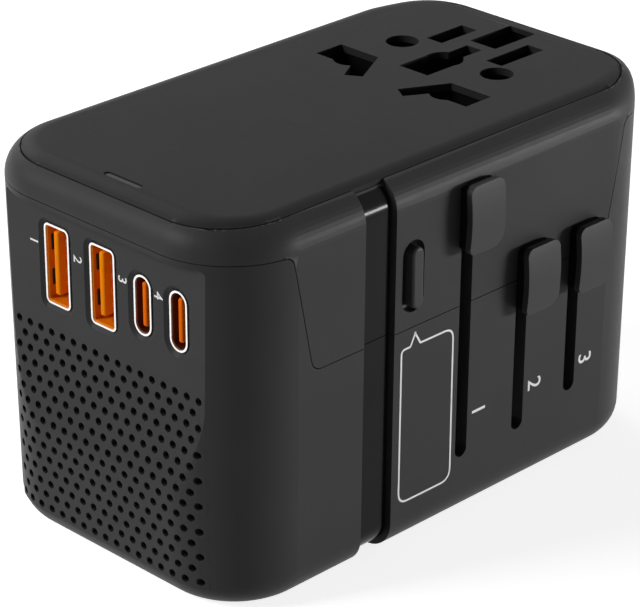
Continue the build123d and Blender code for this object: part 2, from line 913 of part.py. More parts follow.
def make_eu_pin(side):
    pin = rise(Circle(eu_pin_radius), eu_tip_height, eu_shoulder)
    pin = fillet(pin.faces().sort_by(Axis.Z)[0].edges(), eu_tip_round)
    root = rise(Circle(pin_root_share * eu_pin_radius), eu_shoulder, eu_shoulder + pin_root_length)
    return Pos(slot_x["eu"], side * eu_pitch / 2) * (pin + root)


def flat_pin(width, depth, tip, shoulder, bevel):
    """Rectangular pin with a bevelled tip and a thinner root, centred on the Z axis."""
    pin = rise(Rectangle(width, depth), tip, shoulder)
    pin = chamfer(pin.faces().sort_by(Axis.Z)[0].edges(), bevel)
    root = Rectangle(pin_root_share * width, pin_root_share * depth)
    return pin + rise(root, shoulder, shoulder + pin_root_length)


def make_uk_carrier():
    """Bar for the two line pins, with a rail round the blade carrier to the earth pin."""
    x = slot_x["uk"]
    bar_half = uk_pitch / 2 + uk_pin_width / 2 + uk_holder_margin
    outer = uk_rail_inner + uk_rail_width
    earth_half = uk_earth_width / 2 + uk_holder_margin
    top = uk_carrier_height
    bar = block(x - uk_bar_half_width, x + uk_bar_half_width, -bar_half, outer, 0, top)
    rail = block(x - uk_bar_half_width, uk_earth_x + earth_half, uk_rail_inner, outer, 0, top)
    holder = block(uk_earth_x - earth_half, uk_earth_x + earth_half, -uk_holder_half_width, outer, 0, top)
    carrier = bar + rail + holder
    carrier = Pos(0, 0, uk_carrier_bottom) * fillet(carrier.edges().filter_by(Axis.Z), carrier_round)
    carrier += make_arm("uk", -bar_half + carrier_round, uk_carrier_bottom + arm_bottom_rise, arm_top_height)
    for px, py, width, depth in uk_pin_places():
        root_width = pin_root_share * width + 2 * press_gap
        root = Rectangle(root_width, pin_root_share * depth + 2 * press_gap)
        carrier -= Pos(px, py) * rise(root, uk_carrier_bottom, uk_carrier_bottom + pin_root_length)
    return carrier


def uk_pin_places():
    x = slot_x["uk"]
    return (
        (x, uk_pitch / 2, uk_pin_thickness, uk_pin_width),
        (x, -uk_pitch / 2, uk_pin_thickness, uk_pin_width),
        (uk_earth_x, 0, uk_earth_width, uk_pin_thickness),
    )


def make_uk_pin(place, tip):
    px, py, width, depth = place
    return Pos(px, py) * flat_pin(width, depth, tip, uk_carrier_bottom, uk_tip_chamfer)


def make_us_carrier():
    """Block with a stepped bore for each turning blade, closed by a lid."""
    x = slot_x["us"]
    half = us_carrier_half_width
    reach = us_carrier_half_length
    top = us_carrier_bottom + us_carrier_height
    carrier = rise(RectangleRounded(2 * half, 2 * reach, carrier_round), us_carrier_bottom, top)
    carrier = Pos(x, 0) * carrier
    carrier += make_arm("us", -reach + carrier_round, us_carrier_bottom + arm_bottom_rise, arm_top_height)
    for side in (-1, 1):
        place = Pos(x, side * us_pitch / 2)
        ledge = us_carrier_bottom + us_neck_height
        carrier -= place * rise(Circle(us_neck_radius + turn_gap), us_carrier_bottom - overrun, top)
        carrier -= place * rise(Circle(us_hub_radius + turn_gap), ledge, top + overrun)
    return carrier


def make_us_lid():
    low = us_carrier_bottom + us_carrier_height
    y0 = arm_half_width - us_carrier_half_length
    half = us_carrier_half_width
    lid = RectangleRounded(2 * half, us_carrier_half_length - y0, carrier_round)
    return Pos(slot_x["us"], (us_carrier_half_length + y0) / 2) * rise(lid, low, low + us_lid_thickness)


def make_us_blade(side):
    """Blade on a stepped hub that turns in the carrier."""
    blade = rise(Rectangle(us_blade_width, us_blade_thickness), us_tip_height, us_carrier_bottom)
    blade = chamfer(blade.faces().sort_by(Axis.Z)[0].edges(), us_tip_chamfer)
    ledge = us_carrier_bottom + us_neck_height + turn_gap
    blade += rise(Circle(us_neck_radius), us_carrier_bottom, ledge)
    blade += rise(Circle(us_hub_radius), ledge, us_carrier_bottom + us_carrier_height - turn_gap)
    return Pos(slot_x["us"], side * us_pitch / 2) * blade


def make_button():
    """Pill-shaped button with a flange behind the wall and a stem to the switch."""
    face = side_wall(button_height) - button_proud
    inner = half_width - wall - draft_slope * (body_height - button_height - button_length / 2)
    flange_front = press_gap - inner + draft_slope * button_length
    flange_back = flange_front + button_flange
    pill = across(stadium(button_width, button_length), face, flange_front)
    pill = fillet(pill.faces().sort_by(Axis.Y)[0].edges(), button_edge_round)
    margin = 2 * button_flange_margin
    flange = across(stadium(button_width + margin, button_length + margin), flange_front, flange_back)
    stem_end = flange_back + button_flange
    stem = across(Pos(button_x, button_height) * Circle(button_stem_radius), flange_back, stem_end)
    return pill + flange + stem


def make_switch():
    """Self-locking switch fixed to the partition, its plunger facing the button."""
    end = partition_start
    half = switch_width / 2
    front = button_back() + button_travel + button_gap
    body = block(end - switch_width, end, front, front + switch_depth, button_height - half, button_height + half)
    return fillet(body.edges().filter_by(Axis.Y), switch_round)


def button_back():
    return make_button().bounding_box().max.Y


def save(name, shape):
    export_step(shape, f"parts/{name}.step")


def build():
    shell = outer_shell()
    save("lower_case", make_lower_case(shell))
    save("upper_cover", make_upper_cover(shell))
    save("top_plate", make_top_plate())
    band_upper, band_lower = make_bands()
    save("band_upper", band_upper)
    save("band_lower", band_lower)
    save("light_pipe", make_light_pipe())
    save("indicator_led", make_led())
    for kind, number, y in port_places():
        save(f"usb_{kind}_shell_{number}", make_port_shell(kind, y))
        save(f"usb_{kind}_insert_{number}", make_port_insert(kind, y))
    save("usb_board", make_usb_board())
    save("converter_board", make_converter_board())
    save("heat_sink", make_heat_sink())
    save("choke", make_choke())
    for number in (0, 1):
        save(f"capacitor_{number + 1}", make_capacitor(number))
    save("fuse", make_fuse())
    save("partition", make_partition())
    contacts = {name: make_contact(name) for name in contact_leaves()}
    for name, contact in contacts.items():
        save(name, contact)
    save("socket_housing", make_socket_housing())
    save("socket_base", make_socket_base(contacts.values()))
    for number, (x, y) in enumerate(post_places()):
        save(f"case_screw_{number + 1}", make_screw(x, y))
    for name in slot_x:
        save(f"{name}_cap", make_cap(name))
    save("eu_carrier", make_eu_carrier())
    save("uk_carrier", make_uk_carrier())
    save("us_carrier", make_us_carrier())
    save("us_lid", make_us_lid())
    live, neutral, earth = uk_pin_places()
    save("uk_pin_live", make_uk_pin(live, uk_tip_height))
    save("uk_pin_neutral", make_uk_pin(neutral, uk_tip_height))
    save("uk_pin_earth", make_uk_pin(earth, uk_earth_tip_height))
    for name, side in (("live", 1), ("neutral", -1)):
        save(f"eu_pin_{name}", make_eu_pin(side))
        save(f"us_blade_{name}", make_us_blade(side))
    save("mode_button", make_button())
    save("mode_switch", make_switch())


build()
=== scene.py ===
import bpy, bmesh
from math import atan, cos, radians, sqrt, tan
from mathutils import Matrix, Vector


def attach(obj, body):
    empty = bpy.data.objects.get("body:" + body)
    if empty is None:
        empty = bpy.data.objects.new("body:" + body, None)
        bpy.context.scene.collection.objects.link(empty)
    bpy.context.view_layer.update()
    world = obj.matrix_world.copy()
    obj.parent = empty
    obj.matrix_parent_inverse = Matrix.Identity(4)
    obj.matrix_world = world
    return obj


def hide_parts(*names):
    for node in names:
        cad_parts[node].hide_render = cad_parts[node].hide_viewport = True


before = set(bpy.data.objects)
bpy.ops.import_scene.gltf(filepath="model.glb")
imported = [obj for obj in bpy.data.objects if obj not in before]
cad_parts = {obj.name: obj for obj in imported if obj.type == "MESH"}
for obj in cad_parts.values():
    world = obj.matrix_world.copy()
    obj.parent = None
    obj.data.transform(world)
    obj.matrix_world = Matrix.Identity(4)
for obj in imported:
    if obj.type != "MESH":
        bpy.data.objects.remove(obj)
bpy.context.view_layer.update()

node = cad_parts
mm = 0.001


# Main shell
# Two moulded halves in dark ABS, a lower case and the upper cover that meets it along a saddle line.
# Both come out of one spark-textured mould, so they share a fine even grain and faint flow marks.
case_half_length = 44.9
case_half_width = 26.55
case_height = 58.0
case_lean = 0.71
case_draft = case_lean / case_height
case_corner = 12.97
cool_trace = 1.01
flow_scale = 90
flow_detail = 3
flow_reach = 0.2
mottle_scale = 900
mottle_detail = 4
spark_detail = 2
spark_strength = 0.5


def grey(level):
    """A neutral grey with a trace of blue."""
    return (level, level, level * cool_trace)


def new_material(name):
    """A new material, with its nodes and its links."""
    material = bpy.data.materials.new(name)
    material.use_nodes = True
    return material, material.node_tree.nodes, material.node_tree.links


def noise_of(nodes, links, place, scale, detail):
    """A noise of its own scale, read at a place."""
    noise = nodes.new("ShaderNodeTexNoise")
    noise.inputs["Scale"].default_value = scale
    noise.inputs["Detail"].default_value = detail
    links.new(place, noise.inputs["Vector"])
    return noise.outputs["Fac"]


def shaded(nodes, links, noise, low, high, reach):
    """Goes from the low to the high colour while the noise passes its middle, over a reach each way."""
    ramp = nodes.new("ShaderNodeValToRGB")
    first, last = ramp.color_ramp.elements
    first.position = 0.5 - reach
    last.position = 0.5 + reach
    first.color = (*low, 1)
    last.color = (*high, 1)
    links.new(noise, ramp.inputs["Fac"])
    links.new(ramp.outputs["Color"], nodes["Principled BSDF"].inputs["Base Color"])


def polished(nodes, links, noise, roughness, spread):
    """Lets the noise carry the roughness a little to both sides."""
    gloss = nodes.new("ShaderNodeMapRange")
    gloss.inputs["To Min"].default_value = roughness - spread
    gloss.inputs["To Max"].default_value = roughness + spread
    links.new(noise, gloss.inputs["Value"])
    links.new(gloss.outputs["Result"], nodes["Principled BSDF"].inputs["Roughness"])


def grained(nodes, links, noise, depth, strength):
    """Raises the noise as a grain, its depth in millimetres."""
    bump = nodes.new("ShaderNodeBump")
    bump.inputs["Distance"].default_value = depth * mm
    bump.inputs["Strength"].default_value = strength
    links.new(noise, bump.inputs["Height"])
    links.new(bump.outputs["Normal"], nodes["Principled BSDF"].inputs["Normal"])


def moulded(name, low, high, roughness, spread, grain=7000, depth=0.012, specular=0.15):
    """Moulded plastic: cloudy flow marks between two shades, mottled gloss and the grain of the mould."""
    material, nodes, links = new_material(name)
    nodes["Principled BSDF"].inputs["Specular IOR Level"].default_value = specular
    place = nodes.new("ShaderNodeTexCoord").outputs["Object"]
    flow = noise_of(nodes, links, place, flow_scale, flow_detail)
    mottle = noise_of(nodes, links, place, mottle_scale, mottle_detail)
    sparks = noise_of(nodes, links, place, grain, spark_detail)
    shaded(nodes, links, flow, low, high, flow_reach)
    polished(nodes, links, mottle, roughness, spread)
    grained(nodes, links, sparks, depth, spark_strength)
    return material


def coat(names, material):
    """Gives CAD nodes their finish."""
    for name in names:
        node[name].data.materials.clear()
        node[name].data.materials.append(material)


case_finish = moulded("case_grain", grey(0.036), grey(0.040), 0.46, 0.05, specular=0.10)
coat(["lower_case"], case_finish)


# Vent field
# The flat face under the ports is pierced by fifteen staggered rows of small round holes for cooling air.
# Each hole has a softly broken edge, and a short round bore that the case's own wall carries.
vent_rows = 15
vent_columns = 17
vent_pitch = 2.31
vent_step = 1.98
vent_top = 32.35
vent_bore = 0.615
vent_edge = 0.03
vent_depth = 0.9
vent_proud = 0.015
vent_smooth = 30
cell_parts = 4
hole_share = 0.3
facet_x = -43.0
facet_bend = 30.0
facet_lean = 0.115
facet_radius = 35.0
weld = 1e-6


def facet_face(z):
    """X of the flat face, upright above its bend and leaning out below it."""
    turn = atan(facet_lean)
    run = facet_radius * tan(turn / 2)
    if z > facet_bend + run:
        return facet_x
    if z < facet_bend - run * cos(turn):
        return facet_x - facet_lean * (facet_bend - z)
    drop = facet_bend + run - z
    return facet_x - (facet_radius - sqrt(facet_radius ** 2 - drop ** 2))


def end_face(y, z):
    """X of the case's outer face at the port end, where the flat face or the drafted wall is further in."""
    lean = case_draft * (case_height - z)
    radius = case_corner - lean
    across = max(0.0, abs(y) - (case_half_width - case_corner))
    wall_x = -(case_half_length - case_corner + sqrt(max(0.0, radius ** 2 - across ** 2)))
    return max(facet_face(z), wall_x)


def alone(piece):
    """Selects one piece and makes it the active one."""
    bpy.ops.object.select_all(action="DESELECT")
    piece.select_set(True)
    bpy.context.view_layer.objects.active = piece


def settle(piece):
    """Puts a piece's place, turn and size into its mesh."""
    alone(piece)
    bpy.ops.object.transform_apply(location=True, rotation=True, scale=True)


def smoothed(piece, degrees):
    """Shades a piece smooth across the edges that turn less than an angle."""
    alone(piece)
    bpy.ops.object.shade_smooth_by_angle(angle=radians(degrees))


def worked(piece, kind, **settings):
    """Adds a modifier and applies it."""
    alone(piece)
    modifier = piece.modifiers.new(kind.title(), kind)
    for key, value in settings.items():
        setattr(modifier, key, value)
    bpy.ops.object.modifier_apply(modifier=modifier.name)


def pick(piece, mode, test):
    """Opens a piece in edit mode and selects the faces or edges that pass a test.

    The test is given a face's middle and normal, or an edge's middle and the way it runs.
    """
    alone(piece)
    bpy.ops.object.mode_set(mode="EDIT")
    bpy.ops.mesh.select_mode(type=mode)
    bpy.ops.mesh.select_all(action="DESELECT")
    form = bmesh.from_edit_mesh(piece.data)
    if mode == "FACE":
        for face in form.faces:
            face.select_set(bool(test(face.calc_center_median(), face.normal)))
    else:
        for edge in form.edges:
            start, end = (v.co for v in edge.verts)
            edge.select_set(bool(test((start + end) / 2, end - start)))
    bmesh.update_edit_mesh(piece.data)


def every(middle, way):
    """The test that all faces and edges pass."""
    return True


def leave():
    """Closes edit mode."""
    bpy.ops.object.mode_set(mode="OBJECT")


def dressed(piece, name, material, body):
    """Names a finished piece, gives it its finish and lets it ride on its body."""
    piece.name = name
    piece.data.materials.clear()
    piece.data.materials.append(material)
    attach(piece, body)
    return piece


def by_the_hole(point):
    """Whether a point of a cell's grid lies in the inner oblongs, which make room for the hole."""
    return abs(point.x) < hole_share * vent_step * mm and abs(point.y) < hole_share * vent_pitch * mm


def vent_cell():
    """One hole in its own oblong of the face, looking along Z until its row is laid."""
    mouth = vent_bore + vent_edge
    bpy.ops.object.select_all(action="DESELECT")
    bpy.ops.mesh.primitive_grid_add(x_subdivisions=cell_parts, y_subdivisions=cell_parts, size=1)
    cell = bpy.context.object
    cell.scale = (vent_step * mm, vent_pitch * mm, 1)
    settle(cell)
    pick(cell, "FACE", lambda c, n: by_the_hole(c))
    bpy.ops.mesh.delete(type="FACE")
    leave()
    for v in cell.data.vertices:
        if by_the_hole(v.co):
            v.co.length = mouth * mm
    pick(cell, "EDGE", lambda c, way: c.length < mouth * mm)
    bpy.ops.mesh.extrude_edges_move(TRANSFORM_OT_translate={"value": (0, 0, -vent_edge * mm)})
    bpy.ops.transform.resize(value=(vent_bore / mouth, vent_bore / mouth, 1), center_override=(0, 0, 0))
    bpy.ops.mesh.extrude_edges_move(TRANSFORM_OT_translate={"value": (0, 0, -vent_depth * mm)})
    leave()
    return cell


def vent_row(cell, row):
    """Copies the cell along one row and lays the row on the face."""
    strip = cell.copy()
    strip.data = cell.data.copy()
    bpy.context.collection.objects.link(strip)
    count = vent_columns - row % 2
    worked(strip, "ARRAY", count=count, use_relative_offset=False, use_constant_offset=True,
           constant_offset_displace=(0, vent_pitch * mm, 0), use_merge_vertices=True, merge_threshold=weld)
    first = -(count - 1) / 2 * vent_pitch * mm
    height = (vent_top - row * vent_step) * mm
    for v in strip.data.vertices:
        y, z, depth = v.co.y + first, height + v.co.x, -v.co.z
        v.co = (end_face(y / mm, z / mm) * mm - vent_proud * mm + depth, y, z)
    return strip


cell = vent_cell()
rows = [vent_row(cell, row) for row in range(vent_rows)]
bpy.data.objects.remove(cell)
bpy.ops.object.select_all(action="DESELECT")
for strip in rows:
    strip.select_set(True)
bpy.context.view_layer.objects.active = rows[0]
bpy.ops.object.join()
vents = bpy.context.object
pick(vents, "FACE", every)
bpy.ops.mesh.remove_doubles(threshold=weld)
bpy.ops.mesh.normals_make_consistent(inside=False)
leave()
if sum(face.normal.x * face.area for face in vents.data.polygons) > 0:
    pick(vents, "FACE", every)
    bpy.ops.mesh.flip_normals()
    leave()
smoothed(vents, vent_smooth)
dressed(vents, "vent_face", case_finish, "case")


# Top rounding
# The cover's top edge is a plain round along the sides and much squarer across the plug end.
# The cover and the plate in it are drawn out together there, so the gap between them stays as it is.
rounding = 5.0
rim_half_length = 44.85
rim_half_width = 26.5
rim_corner = 12.91
round_power = 2.0
plug_end_power = 7.5
corner_falloff = 4
sliver = 2e-5
rim_smooth = 14
rim_weight = 60


def drawn_out(x, y, z):
    """Moves a point of the top rounding out, along its own direction from the rounding's middle line."""
    rise = rounding - (case_height - z)
    out_x = max(0.0, abs(x) - (rim_half_length - rim_corner))
    out_y = max(0.0, abs(y) - (rim_half_width - rim_corner))
    reach = sqrt(out_x ** 2 + out_y ** 2)
    run = rounding - (rim_corner - reach)
    if x <= 0 or rise <= 0 or run <= 0:
        return x, y, z
    way_x = out_x / reach
    way_y = out_y / reach * (1 if y > 0 else -1)
    power = round_power + (plug_end_power - round_power) * way_x ** corner_falloff
    size = sqrt(rise ** 2 + run ** 2)
    more = ((run / size) ** power + (rise / size) ** power) ** (-1 / power) - 1
    return x + way_x * run * more, y + way_y * run * more, z + rise * more


def merged_copy(name):
    """A copy of a CAD node with its doubles merged, left open in edit mode with all of it selected."""
    piece = bpy.data.objects.new(f"{name}_copy", node[name].data.copy())
    bpy.context.collection.objects.link(piece)
    pick(piece, "FACE", every)
    bpy.ops.mesh.remove_doubles(threshold=weld)
    return piece


def squared(name):
    """A copy of a CAD node with its part of the top rounding drawn out."""
    piece = merged_copy(name)
    bpy.ops.mesh.dissolve_degenerate(threshold=sliver)
    leave()
    for v in piece.data.vertices:
        v.co = Vector(drawn_out(*(v.co / mm))) * mm
    piece.data.update()
    smoothed(piece, rim_smooth)
    worked(piece, "WEIGHTED_NORMAL", keep_sharp=True, weight=rim_weight)
    return piece


cover = squared("upper_cover")
dressed(cover, "cover_form", case_finish, "case")
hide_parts("upper_cover")


# Top plate
# A thin satin plate drops into the cover's rim and is pierced for every kind of plug.
# It is moulded smoother than the case, and under its lip each opening's walls are painted near-black as
# shade, as dark as the wells.
plate_finish = moulded("plate_satin", grey(0.022), grey(0.025), 0.42, 0.04,
                       grain=9000, depth=0.006, specular=0.06)
# Near-black: black plastic darkened further into painted shade, for the socket parts and the plate's
# opening walls.
black_and_shade_finish = moulded("inner_black", grey(0.0022), grey(0.003), 0.6, 0.05, specular=0.05)
plate_lip = 56.9
openings_x = 37.0
openings_y = 19.0
openings_margin = 1.0


def by_the_openings(point, margin):
    """Whether a point lies within the part of the plate that holds its openings, and a margin round it."""
    return abs(point.x) < (openings_x + margin) * mm and abs(point.y) < (openings_y + margin) * mm


plate = squared("top_plate")
pick(plate, "FACE", lambda c, n: by_the_openings(c, 0))
bpy.ops.mesh.bisect(plane_co=(0, 0, plate_lip * mm), plane_no=(0, 0, 1))
leave()
dressed(plate, "plate_form", plate_finish, "case")
plate.data.materials.append(black_and_shade_finish)
# Opening walls below the lip get the near-black painted shade instead of the plate's own satin.
for face in plate.data.polygons:
    painted_shade_under_lip = face.center.z < plate_lip * mm
    face.material_index = int(painted_shade_under_lip and by_the_openings(face.center, openings_margin))
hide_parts("top_plate")


# Band
# A glossy strap is let into a groove round the body and marks off the circuit end from the plug end.
# Polished tooling leaves it nearly mirror smooth, with only long faint ripples.
band_finish = moulded("band_polish", grey(0.008), grey(0.010), 0.16, 0.03,
                      grain=400, depth=0.01, specular=0.08)
coat(["band_upper", "band_lower"], band_finish)


# Indicator light
# A smoked light pipe in the plate brings the glow of a small lamp on the upright board to the top.
smoke_clearness = 0.15
smoke = moulded("smoked_pipe", grey(0.045), grey(0.055), 0.25, 0.03, grain=2500, depth=0.01)
smoke.node_tree.nodes["Principled BSDF"].inputs["Transmission Weight"].default_value = smoke_clearness
coat(["light_pipe"], smoke)
coat(["indicator_led"], moulded("lamp_package", (0.80, 0.78, 0.70), (0.86, 0.84, 0.76), 0.3, 0.04))


# Ports
# Two oblong and two round-ended sockets, each a nickel-plated steel shell over an orange insulator.
# The shell's lip shows as a bright line round the mouth, set a little inside its recess.
drawn_detail = 4
drawn_reach = 0.15
drawn_depth = 0.004
drawn_strength = 0.4


def metal(name, low, high, roughness, spread, stretch, grain):
    """Plated or bare metal: drawn grain along one way, and small changes of polish."""
    material, nodes, links = new_material(name)
    nodes["Principled BSDF"].inputs["Metallic"].default_value = 1.0
    place = nodes.new("ShaderNodeTexCoord").outputs["Object"]
    turn = nodes.new("ShaderNodeMapping")
    turn.inputs["Scale"].default_value = stretch
    links.new(place, turn.inputs["Vector"])
    drawn = noise_of(nodes, links, turn.outputs["Vector"], grain, drawn_detail)
    shaded(nodes, links, drawn, low, high, drawn_reach)
    polished(nodes, links, drawn, roughness, spread)
    grained(nodes, links, drawn, drawn_depth, drawn_strength)
    return material


def insulator(name, low, high):
    """Orange nylon of a port's tongue, nearly without shine."""
    return moulded(name, low, high, 0.40, 0.05, grain=5000, depth=0.006, specular=0.03)


port_plating = metal("port_plating", (0.78, 0.78, 0.77), (0.90, 0.90, 0.89), 0.34, 0.06, (0.2, 1, 1), 2500)
orange = insulator("orange_insulator", (0.97, 0.26, 0.001), (1.0, 0.29, 0.002))
orange_red = insulator("orange_red_insulator", (0.90, 0.15, 0.002), (0.97, 0.17, 0.003))
lining_orange = moulded("orange_lining", (0.78, 0.20, 0.001), (0.86, 0.23, 0.002), 0.45, 0.05,
                        specular=0.03)
lining_brown = moulded("brown_lining", (0.075, 0.013, 0.002), (0.10, 0.018, 0.003), 0.5, 0.05)
# Near-black painted shadow, for the shade at the shells' spring tabs.
painted_spring_shadow = moulded("spring_shadow", grey(0.004), grey(0.006), 0.5, 0.05)
port_gold = metal("contact_gold", (0.75, 0.48, 0.16), (0.85, 0.58, 0.22), 0.28, 0.05, (0.2, 1, 1), 3000)
coat(["usb_a_shell_1", "usb_a_shell_2", "usb_c_shell_1", "usb_c_shell_2"], port_plating)

port_z = 42.75
port_mouth = -42.7
board_face = -31.5
front_facing = 0.9
edge_smooth = 40
tube_smooth = 35
dish_set_back = 0.02
dish_depth = 0.56
dish_fall = 0.5
dish_slope = 0.6
dish_reach = 0.78
dish_steps = 8
dish_flat = 0.99
lining_set_back = 0.25
lining_steps = 10


def inside(front, back):
    """The stretch of X between a distance behind the ports' mouths and one in front of their board."""
    return port_mouth + front, board_face - back


def about(middle, half):
    """The two limits that lie half a size to each side of a middle."""
    return middle - half, middle + half


def moved(limits, middle):
    """Two limits, given from a middle, in their place."""
    return [middle + limit for limit in limits]


def cube(x, y, z):
    """A cube between two limits each way, its place and size put into its mesh."""
    bpy.ops.object.select_all(action="DESELECT")
    bpy.ops.mesh.primitive_cube_add(size=1)
    piece = bpy.context.object
    piece.location = [(low + high) / 2 * mm for low, high in (x, y, z)]
    piece.scale = [(high - low) * mm for low, high in (x, y, z)]
    settle(piece)
    return piece


def block(x, y, z, soft, steps=3):
    """A box with all its edges rounded."""
    piece = cube(x, y, z)
    pick(piece, "EDGE", every)
    bpy.ops.mesh.bevel(offset=soft * mm, segments=steps, affect="EDGES")
    leave()
    smoothed(piece, edge_smooth)
    return piece


def bar(x, y, half_y, half_z, corner, steps):
    """A bar along X at the ports' height, with its four long edges rounded and its front face picked."""
    piece = cube(x, about(y, half_y), about(port_z, half_z))
    pick(piece, "EDGE", lambda c, way: abs(way.x) > abs(way.y) + abs(way.z))
    bpy.ops.mesh.bevel(offset=corner * mm, segments=steps, affect="EDGES")
    leave()
    pick(piece, "FACE", lambda c, n: n.x < -front_facing)
    return piece


def cup(y, half_y, half_z, corner, thick):
    """A lining that follows the inside of a shell, open at the mouth and closed at the back."""
    front, back = inside(lining_set_back, 0)
    piece = bar((front, back), y, half_y, half_z, corner, lining_steps)
    bpy.ops.mesh.inset(thickness=thick * mm)
    bpy.ops.mesh.extrude_region_move(TRANSFORM_OT_translate={"value": ((back - front - thick) * mm, 0, 0)})
    leave()
    smoothed(piece, tube_smooth)
    return piece


def dish(y, half_y, half_z, corner):
    """The sloped edge that leads from the flat face down to a port's shell, as a closed ring."""
    front = facet_x + dish_set_back
    sizes = (half_y + dish_reach, half_z + dish_reach, corner + dish_reach)
    piece = bar((front, front + dish_depth), y, *sizes, dish_steps)
    bpy.ops.mesh.inset(thickness=dish_slope * mm)
    bpy.ops.transform.translate(value=(dish_fall * mm, 0, 0))
    leave()
    pick(piece, "FACE", lambda c, n: abs(n.x) > dish_flat)
    bpy.ops.mesh.bridge_edge_loops()
    leave()
    smoothed(piece, tube_smooth)
    return piece


tongue_back = 0.3
pad_back = 1.0
usb_a_places = (10.15, 0.74)
usb_a_half_y = 2.55
usb_a_half_z = 6.1
usb_a_corner = 0.9
usb_a_lining_y = 2.24
usb_a_lining_z = 5.79
usb_a_lining_corner = 0.55
usb_a_lining_wall = 0.2
usb_a_tongue_front = 0.3
usb_a_tongue_soft = 0.3
usb_a_tongue_side = (-0.05, 1.0)
usb_a_tongue_reach = (-4.6, 5.0)
spring_front = 0.8
spring_back = 3.0
spring_side = (1.8, 2.1)
spring_heights = (2.9, -2.4)
spring_half = 1.2
spring_soft = 0.12
usb_a_pads = 4
usb_a_pad_front = 1.6
usb_a_pad_pitch = 2.1
usb_a_pad_side = (-0.11, -0.01)
usb_a_pad_half = 0.5
usb_a_pad_soft = 0.04
usb_a_pad_steps = 2

for number, y in enumerate(usb_a_places, 1):
    surround = dish(y, usb_a_half_y, usb_a_half_z, usb_a_corner)
    dressed(surround, f"usb_a_surround_{number}", case_finish, "case")
    lining = cup(y, usb_a_lining_y, usb_a_lining_z, usb_a_lining_corner, usb_a_lining_wall)
    dressed(lining, f"usb_a_lining_{number}", lining_orange, "case")
    side = moved(usb_a_tongue_side, y)
    height = moved(usb_a_tongue_reach, port_z)
    tongue = block(inside(usb_a_tongue_front, tongue_back), side, height, usb_a_tongue_soft)
    dressed(tongue, f"usb_a_tongue_{number}", orange, "case")
    # Each spring place gets a near-black block of painted shadow, not a metal spring.
    for place, rise in enumerate(spring_heights):
        side = moved(spring_side, y)
        height = about(port_z + rise, spring_half)
        spring = block(inside(spring_front, spring_back), side, height, spring_soft)
        dressed(spring, f"usb_a_spring_shadow_{number}{place + 1}", painted_spring_shadow, "case")
    for place in range(usb_a_pads):
        side = moved(usb_a_pad_side, y)
        height = about(port_z + (place - (usb_a_pads - 1) / 2) * usb_a_pad_pitch, usb_a_pad_half)
        strip = block(inside(usb_a_pad_front, pad_back), side, height, usb_a_pad_soft, usb_a_pad_steps)
        dressed(strip, f"usb_a_contact_{number}{place + 1}", port_gold, "case")
    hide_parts(f"usb_a_insert_{number}")

usb_c_places = (-7.35, -14.45)
usb_c_half_y = 1.725
usb_c_half_z = 4.475
usb_c_corner = 1.68
usb_c_lining_y = 1.42
usb_c_lining_z = 4.17
usb_c_lining_corner = 1.38
usb_c_lining_wall = 0.14
usb_c_tongue_front = 0.35
usb_c_tongue_soft = 0.24
usb_c_tongue_side = (-0.40, 0.42)
usb_c_tongue_half = 3.25
usb_c_pads = 12
usb_c_pad_front = 0.6
usb_c_pad_pitch = 0.5
usb_c_pad_side = (-0.46, -0.36)
usb_c_pad_half = 0.13
usb_c_pad_soft = 0.03
usb_c_pad_steps = 1

for number, y in enumerate(usb_c_places, 1):
    surround = dish(y, usb_c_half_y, usb_c_half_z, usb_c_corner)
    dressed(surround, f"usb_c_surround_{number}", case_finish, "case")
    lining = cup(y, usb_c_lining_y, usb_c_lining_z, usb_c_lining_corner, usb_c_lining_wall)
    dressed(lining, f"usb_c_lining_{number}", lining_brown, "case")
    side = moved(usb_c_tongue_side, y)
    height = about(port_z, usb_c_tongue_half)
    tongue = block(inside(usb_c_tongue_front, tongue_back), side, height, usb_c_tongue_soft)
    dressed(tongue, f"usb_c_tongue_{number}", orange_red, "case")
    for place in range(usb_c_pads):
        side = moved(usb_c_pad_side, y)
        height = about(port_z + (place - (usb_c_pads - 1) / 2) * usb_c_pad_pitch, usb_c_pad_half)
        strip = block(inside(usb_c_pad_front, pad_back), side, height, usb_c_pad_soft, usb_c_pad_steps)
        dressed(strip, f"usb_c_contact_{number}{place + 1:02d}", lining_orange, "case")
    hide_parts(f"usb_c_insert_{number}")


# Circuit boards
# Two green boards carry the port sockets and the converter.
# A finned sink, a choke, two cans and a fuse stand on them.
board_spread = 0.06
solder_mask = moulded("solder_mask", (0.010, 0.085, 0.030), (0.014, 0.115, 0.040), 0.32, board_spread)
fins = metal("extruded_fins", (0.40, 0.41, 0.42), (0.55, 0.56, 0.57), 0.38, 0.08, (0.05, 1, 1), 3000)
winding = moulded("varnished_winding", (0.30, 0.09, 0.03), (0.42, 0.14, 0.05), 0.3, board_spread,
                  grain=1400, depth=0.15)
sleeve = moulded("shrink_sleeve", (0.010, 0.014, 0.022), (0.014, 0.019, 0.030), 0.28, board_spread)
fuse_caps = metal("fuse_caps", (0.70, 0.71, 0.72), (0.82, 0.83, 0.84), 0.25, 0.05, (1, 0.2, 1), 2500)
coat(["usb_board", "converter_board"], solder_mask)
coat(["heat_sink"], fins)
coat(["choke"], winding)
coat(["capacitor_1", "capacitor_2"], sleeve)
coat(["fuse"], fuse_caps)


# Socket under the plate
# A black block of wells with folded brass leaves, standing on a tray; its black plastic is painted down to
# near-black shade, so from above it is only darkness. The partition and the mode switch beside it share
# this black plastic with painted shade.
coat(["socket_housing", "socket_base", "partition", "mode_switch"], black_and_shade_finish)
brass = metal("folded_brass", (0.52, 0.36, 0.12), (0.66, 0.47, 0.18), 0.34, 0.07, (1, 1, 0.2), 3000)
coat(["line_contact", "neutral_contact", "earth_contact"], brass)


